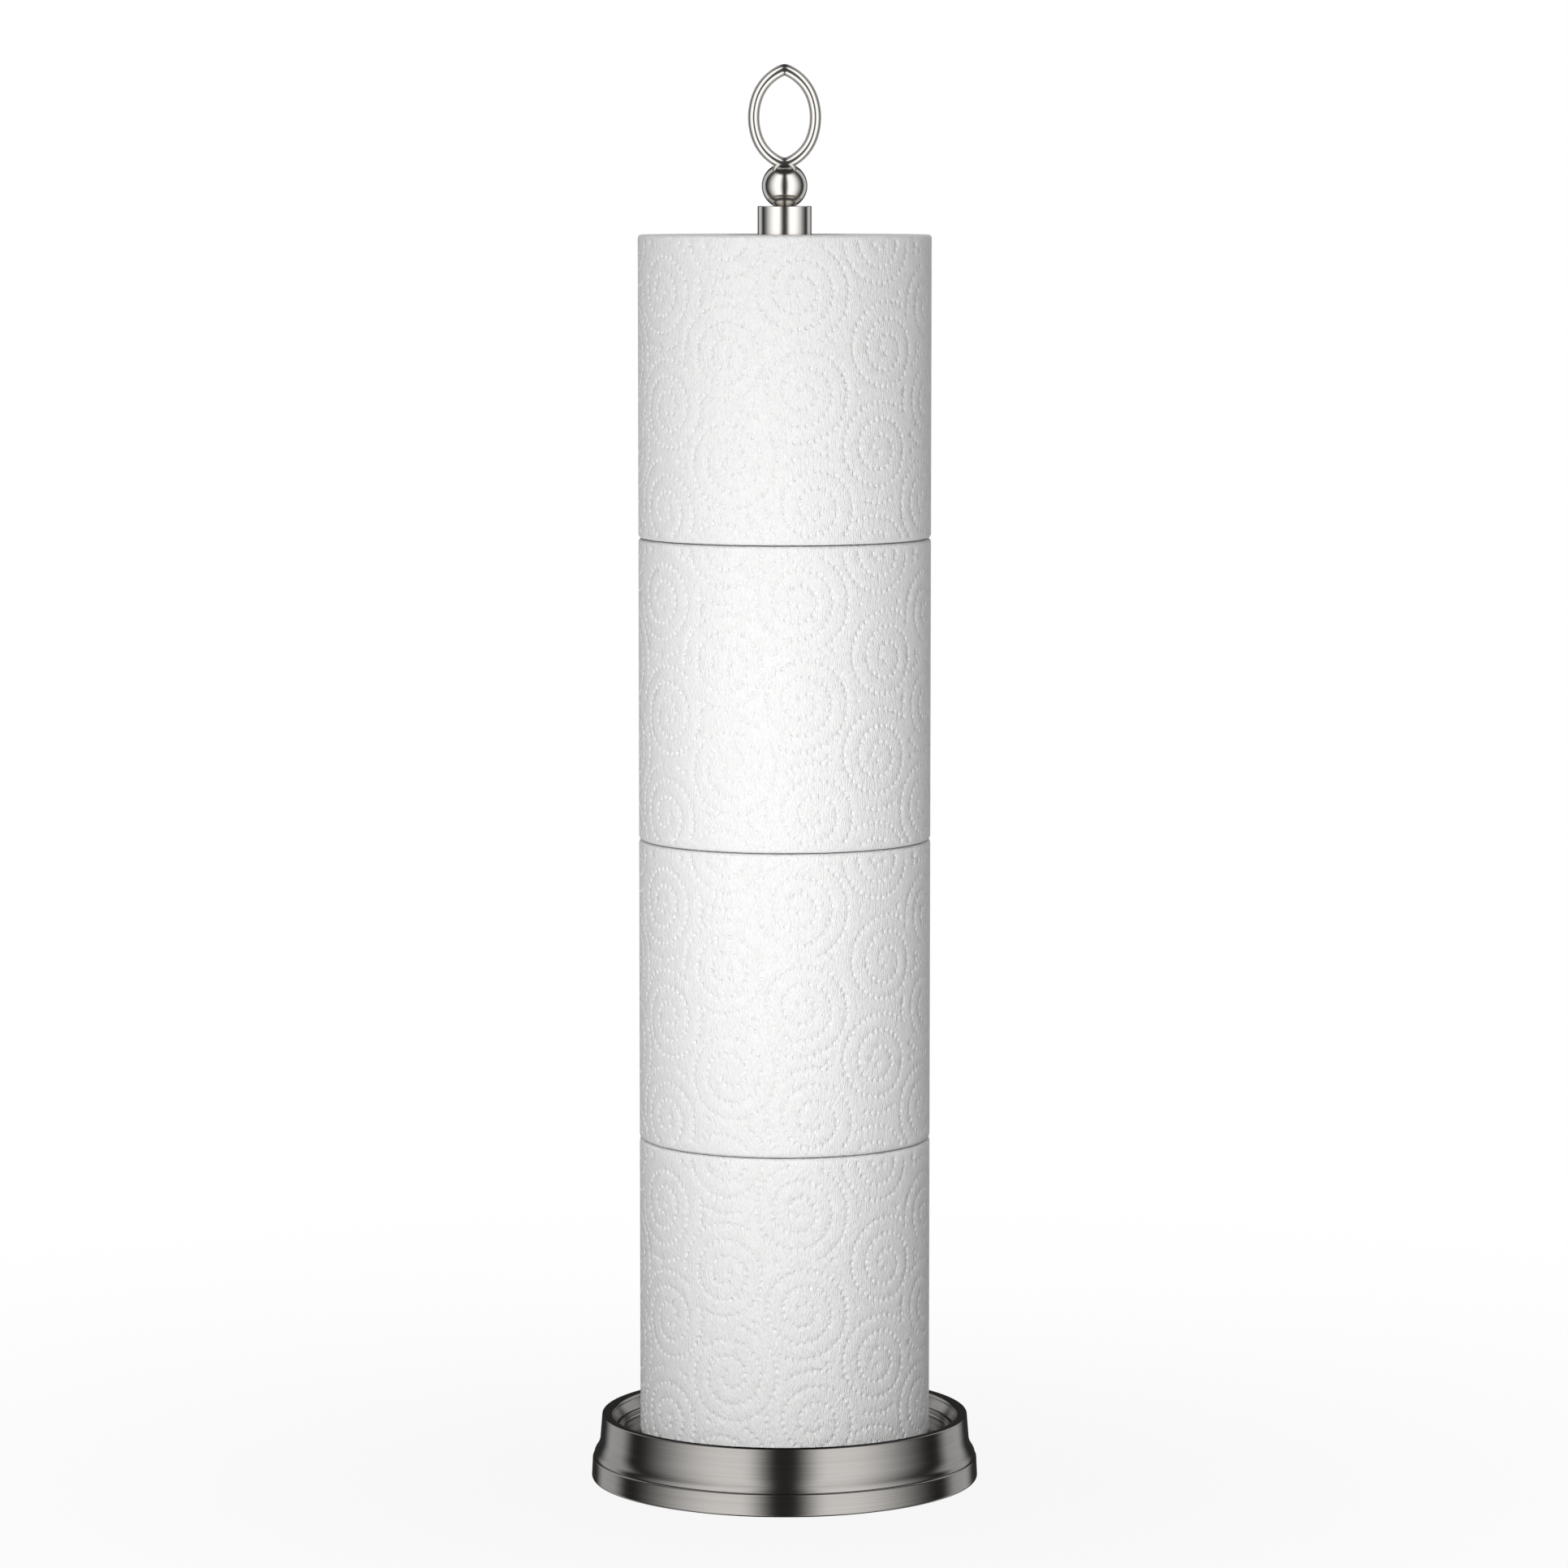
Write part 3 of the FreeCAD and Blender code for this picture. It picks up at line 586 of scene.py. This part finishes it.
def wound_roll_mesh(outer_radius, bore_radius, height):
    """One wound roll as a closed mesh, standing on z = 0 round the Z axis. Its outer sheet is
    laid out flat from one side of the tail to the other, embossed, and wrapped on."""
    length = math.tau * outer_radius
    front = (math.atan2(FRONT.y, FRONT.x) - TAIL_ANGLE) % math.tau * outer_radius
    straight = height - 2 * EDGE_ROUND
    row_count = round(straight / EDGE_ROW_GAP)
    edge_rows = [EDGE_ROUND + straight * k / row_count for k in range(row_count + 1)]
    places = dimple_places(length, height, front)
    flat = sheet_points(length, height, edge_rows, places)

    def radius_at(u):
        """The outline's radius: it grows by one sheet in a turn, and the loose tail lifts."""
        lift = TAIL_LIFT * smooth_step((u - length + TAIL_LIFT_LENGTH) / TAIL_LIFT_LENGTH)
        return outer_radius - SHEET_THICKNESS * (1 - u / length) + lift

    def wrapped(u, v, inward):
        """A point of the unrolled sheet, wrapped on the roll and sunk inwards."""
        angle = TAIL_ANGLE + math.tau * u / length
        radius = radius_at(u) - inward
        return (radius * math.cos(angle), radius * math.sin(angle), v)

    flat_vectors = [Vector((u * 1000, v * 1000)) for u, v, _ in flat]
    _, _, triangles, origins, _, _ = delaunay_2d_cdt(flat_vectors, [], [], 0, 1e-6)
    index_of = [group[0] for group in origins]
    vertices = [wrapped(u, v, depth) for u, v, depth in flat]
    faces = [tuple(index_of[i] for i in triangle) for triangle in triangles]

    bottom_row = list(range(COLUMNS + 1))
    top_row = list(range(COLUMNS + 1, 2 * COLUMNS + 2))
    start_column = list(range(2 * COLUMNS + 2, 2 * COLUMNS + 1 + row_count))
    end_column = [i + row_count - 1 for i in start_column]

    def ring(place):
        """Adds a ring of COLUMNS + 1 points, where place(u) gives a radius and a height."""
        first = len(vertices)
        for j in range(COLUMNS + 1):
            u = length * j / COLUMNS
            radius, z = place(u)
            angle = TAIL_ANGLE + math.tau * j / COLUMNS
            vertices.append((radius * math.cos(angle), radius * math.sin(angle), z))
        return list(range(first, first + COLUMNS + 1))

    def closed_ring(place):
        """The same, closed: its last point is its first."""
        made = ring(place)
        vertices.pop()
        return made[:-1] + made[:1]

    def end_height(share, u, seed):
        """How far an end stands in, in metres: the edges of the turns, uneven round the roll."""
        turns = math.sin(math.tau * (share * TURN_LINES + u / length))
        twice_round = 2 * math.tau * u / length
        uneven = math.sin(share * 31 + seed) * math.cos(twice_round + 5 * share + seed)
        fade = min(1.0, END_FADE * share, END_FADE * (1 - share))
        return END_RELIEF * fade * (1 + END_TURNS_SHARE * turns + END_UNEVEN_SHARE * uneven)

    def end_rings(seed, level):
        """Rings of one end, from the bore outwards. level(inward) gives a height."""
        face_radius = outer_radius - SHEET_THICKNESS - EDGE_ROUND - END_STEP
        made = []
        for k in range(END_RINGS + 1):
            share = k / END_RINGS
            radius = bore_radius + (face_radius - bore_radius) * share
            made.append(closed_ring(
                lambda u, r=radius, s=share: (r, level(end_height(s, u, seed)))))
        return made

    def edge_rings(level):
        """Rings of the rounded outer edge, from the end's face to just short of the outer sheet."""
        made = []
        for step in range(EDGE_ARC_STEPS):
            angle = math.pi / 2 * step / EDGE_ARC_STEPS
            made.append(ring(lambda u, a=angle: (radius_at(u) - EDGE_ROUND * (1 - math.sin(a)),
                                                 level(EDGE_ROUND * (1 - math.cos(a))))))
        return made

    low_end = end_rings(LOW_END_SEED, lambda inward: inward)
    low_edge = edge_rings(lambda inward: inward)
    high_end = end_rings(HIGH_END_SEED, lambda inward: height - inward)
    high_edge = edge_rings(lambda inward: height - inward)
    section = low_end + low_edge + [bottom_row]
    for lower, upper in zip(section, section[1:]):
        faces += [(lower[j], lower[j + 1], upper[j + 1], upper[j]) for j in range(COLUMNS)]
    section = high_end + high_edge + [top_row]
    for lower, upper in zip(section, section[1:]):
        faces += [(upper[j], upper[j + 1], lower[j + 1], lower[j]) for j in range(COLUMNS)]
    upper, lower = high_end[0], low_end[0]
    faces += [(upper[j], upper[j + 1], lower[j + 1], lower[j]) for j in range(COLUMNS)]

    start_side = [r[0] for r in low_edge] + [bottom_row[0]] + start_column + [top_row[0]]
    start_side += [r[0] for r in reversed(high_edge)]
    end_side = [r[-1] for r in low_edge] + [bottom_row[-1]] + end_column + [top_row[-1]]
    end_side += [r[-1] for r in reversed(high_edge)]
    faces += [(a, b, d, c) for a, b, c, d
              in zip(start_side, start_side[1:], end_side, end_side[1:])]
    faces.append((low_end[-1][0], start_side[0], end_side[0]))
    faces.append((high_end[-1][0], end_side[-1], start_side[-1]))

    mesh = bpy.data.meshes.new("wound_roll")
    mesh.from_pydata(vertices, [], faces)
    mesh.polygons.foreach_set("use_smooth", [True] * len(mesh.polygons))
    mesh.set_sharp_from_angle(angle=PAPER_CREASE)
    mesh.materials.append(MATERIALS["tissue_paper"])
    return mesh


def make_rolls():
    """The four embossed rolls. They are alike, and stand with their pattern the same way round."""
    low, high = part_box("roll_1_paper")
    core_low, core_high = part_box("roll_1_core")
    outer_radius = (high.x - low.x) / 2
    bore_radius = (core_high.x - core_low.x) / 2
    mesh = wound_roll_mesh(outer_radius, bore_radius, high.z - low.z)
    for number in range(1, ROLLS + 1):
        node = f"roll_{number}_paper"
        roll = bpy.data.objects.new(f"roll_{number}_wound_paper", mesh.copy())
        bpy.context.scene.collection.objects.link(roll)
        roll.location.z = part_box(node)[0].z
        roll.visible_glossy = False
        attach(roll, node)
        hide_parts(node)


# ---------------------------------------------------------------- studio

def make_world():
    """A dark studio with two tall soft boxes in front, left and right, and two strip lights
    behind. Only the metal mirrors them: the paper gets an even fill, and the camera sees white."""
    world = bpy.data.worlds.new("studio")
    bpy.context.scene.world = world
    world.use_nodes = True
    tree = world.node_tree
    background = tree.nodes["Background"]

    def maths(operation, *values):
        """The result of a Math node."""
        return add_node(tree, "Math", enumerate(values), operation=operation).outputs[0]

    def ramp(angle, dark, bright):
        """0 where the angle is at dark, 1 where it is at bright, in degrees, smooth between."""
        low, high = sorted((dark, bright))
        start, end = (0.0, 1.0) if dark < bright else (1.0, 0.0)
        inputs = {"Value": angle, "From Min": math.radians(low), "From Max": math.radians(high),
                  "To Min": start, "To Max": end}
        return add_node(tree, "MapRange", inputs, interpolation_type="SMOOTHSTEP").outputs[0]

    def band(angle, rise, fall):
        """1 between two edges and 0 outside them."""
        return maths("MULTIPLY", ramp(angle, *rise), ramp(angle, *reversed(fall)))

    direction = add_node(tree, "TexCoord").outputs["Generated"]
    x, y, z = add_node(tree, "SeparateXYZ", {0: direction}).outputs
    azimuth = maths("ABSOLUTE", maths("ARCTAN2", x, maths("MULTIPLY", y, -1.0)))
    elevation = maths("ARCSINE", z)
    box = maths("MULTIPLY", band(azimuth, BOX_NEAR_EDGE, BOX_FAR_EDGE),
                band(elevation, BOX_LOW_EDGE, BOX_HIGH_EDGE))
    strip = maths("MULTIPLY", band(azimuth, STRIP_NEAR_EDGE, STRIP_FAR_EDGE),
                  band(elevation, STRIP_LOW_EDGE, STRIP_HIGH_EDGE))
    light = maths("ADD", maths("MULTIPLY", box, BOX_STRENGTH),
                  maths("MULTIPLY", strip, STRIP_STRENGTH))
    light = maths("ADD", light, STUDIO_GLOW)
    ray = add_node(tree, "LightPath").outputs
    fill = {0: ray["Is Diffuse Ray"], 2: light, 3: FILL_LIGHT}
    spread = add_node(tree, "Mix", fill).outputs[0]
    seen = {0: ray["Is Camera Ray"], 2: spread, 3: 1.0}
    set_input(tree, background.inputs["Strength"], add_node(tree, "Mix", seen).outputs[0])
    background.inputs["Color"].default_value = (1, 1, 1, 1)


def add_light(name, kind, place, aim, **settings):
    """A light at a place, aimed at a point. The metal doesn't mirror it."""
    data = bpy.data.lights.new(name, kind)
    for label, value in settings.items():
        setattr(data, label, value)
    light = bpy.data.objects.new(name, data)
    bpy.context.scene.collection.objects.link(light)
    light.location = place
    light.rotation_euler = (Vector(aim) - Vector(place)).to_track_quat("-Z", "Y").to_euler()
    light.visible_glossy = False
    light.visible_camera = False


def make_lights():
    """A soft key light level with the middle rolls, in front and a little left, and one like it
    behind. Above each stands a tall narrow light for raised rolls, and a weak one is overhead."""
    for side, azimuth in LIGHT_AZIMUTHS:
        x, y = LIGHT_DISTANCE * math.sin(azimuth), -LIGHT_DISTANCE * math.cos(azimuth)
        add_light(side + "_key", "AREA", (x, y, KEY_HEIGHT), (0, 0, KEY_HEIGHT),
                  shape="RECTANGLE", size=KEY_SIZE, size_y=KEY_SIZE, energy=KEY_ENERGY)
        middle = (COLUMN_LOW + COLUMN_HIGH) / 2
        add_light(side + "_column", "AREA", (x, y, middle), (0, 0, middle),
                  shape="RECTANGLE", size=COLUMN_WIDTH, size_y=COLUMN_HIGH - COLUMN_LOW,
                  energy=COLUMN_ENERGY)
    add_light("overhead", "SUN", (0, 0, OVERHEAD_HEIGHT), (0, 0, 0),
              energy=OVERHEAD_ENERGY, angle=OVERHEAD_ANGLE)


def make_floor():
    """A plain pale floor that runs out into the white surroundings. The metal doesn't mirror it."""
    corners = ((-1, -1), (1, -1), (1, 1), (-1, 1))
    mesh = bpy.data.meshes.new("floor")
    mesh.from_pydata([(x * FLOOR_HALF, y * FLOOR_HALF, 0) for x, y in corners], [], [(0, 1, 2, 3)])
    floor = bpy.data.objects.new("floor", mesh)
    bpy.context.scene.collection.objects.link(floor)
    floor.visible_glossy = False
    floor.visible_shadow = False
    m = Material("floor", Roughness=1.0, Specular_IOR_Level=0.0)
    seen = m.node("LightPath").outputs["Is Camera Ray"]
    x, y, _ = m.node("SeparateXYZ", {0: m.position()}).outputs
    radius = m.axis_distance(x, y)
    m.surface_input("Base Color", m.between(radius, *FLOOR_TONES, *FLOOR_TONE_RADII))
    share = m.maths("MULTIPLY", seen, m.between(radius, *FLOOR_GLOWS, *FLOOR_GLOW_RADII))
    glow = m.node("Emission", {"Color": (1, 1, 1, 1), "Strength": 1.0}).outputs[0]
    mix = m.node("MixShader", {0: share, 1: m.surface.outputs[0], 2: glow}).outputs[0]
    set_input(m.tree, m.tree.nodes["Material Output"].inputs["Surface"], mix)
    mesh.materials.append(m.data)


def make_camera():
    """The camera, in front and a little above, looking slightly down."""
    data = bpy.data.cameras.new("camera")
    data.lens = CAMERA_LENS
    camera = bpy.data.objects.new("camera", data)
    bpy.context.scene.collection.objects.link(camera)
    camera.location = FRONT * CAMERA_DISTANCE + Vector((CAMERA_SIDE, 0, CAMERA_HEIGHT))
    camera.rotation_euler = (math.pi / 2 - CAMERA_PITCH, 0, 0)
    bpy.context.scene.camera = camera


dress_cad_nodes()
make_base()
make_rolls()
make_camera()
make_world()
make_lights()
make_floor()
bpy.context.scene.view_settings.view_transform = "Standard"
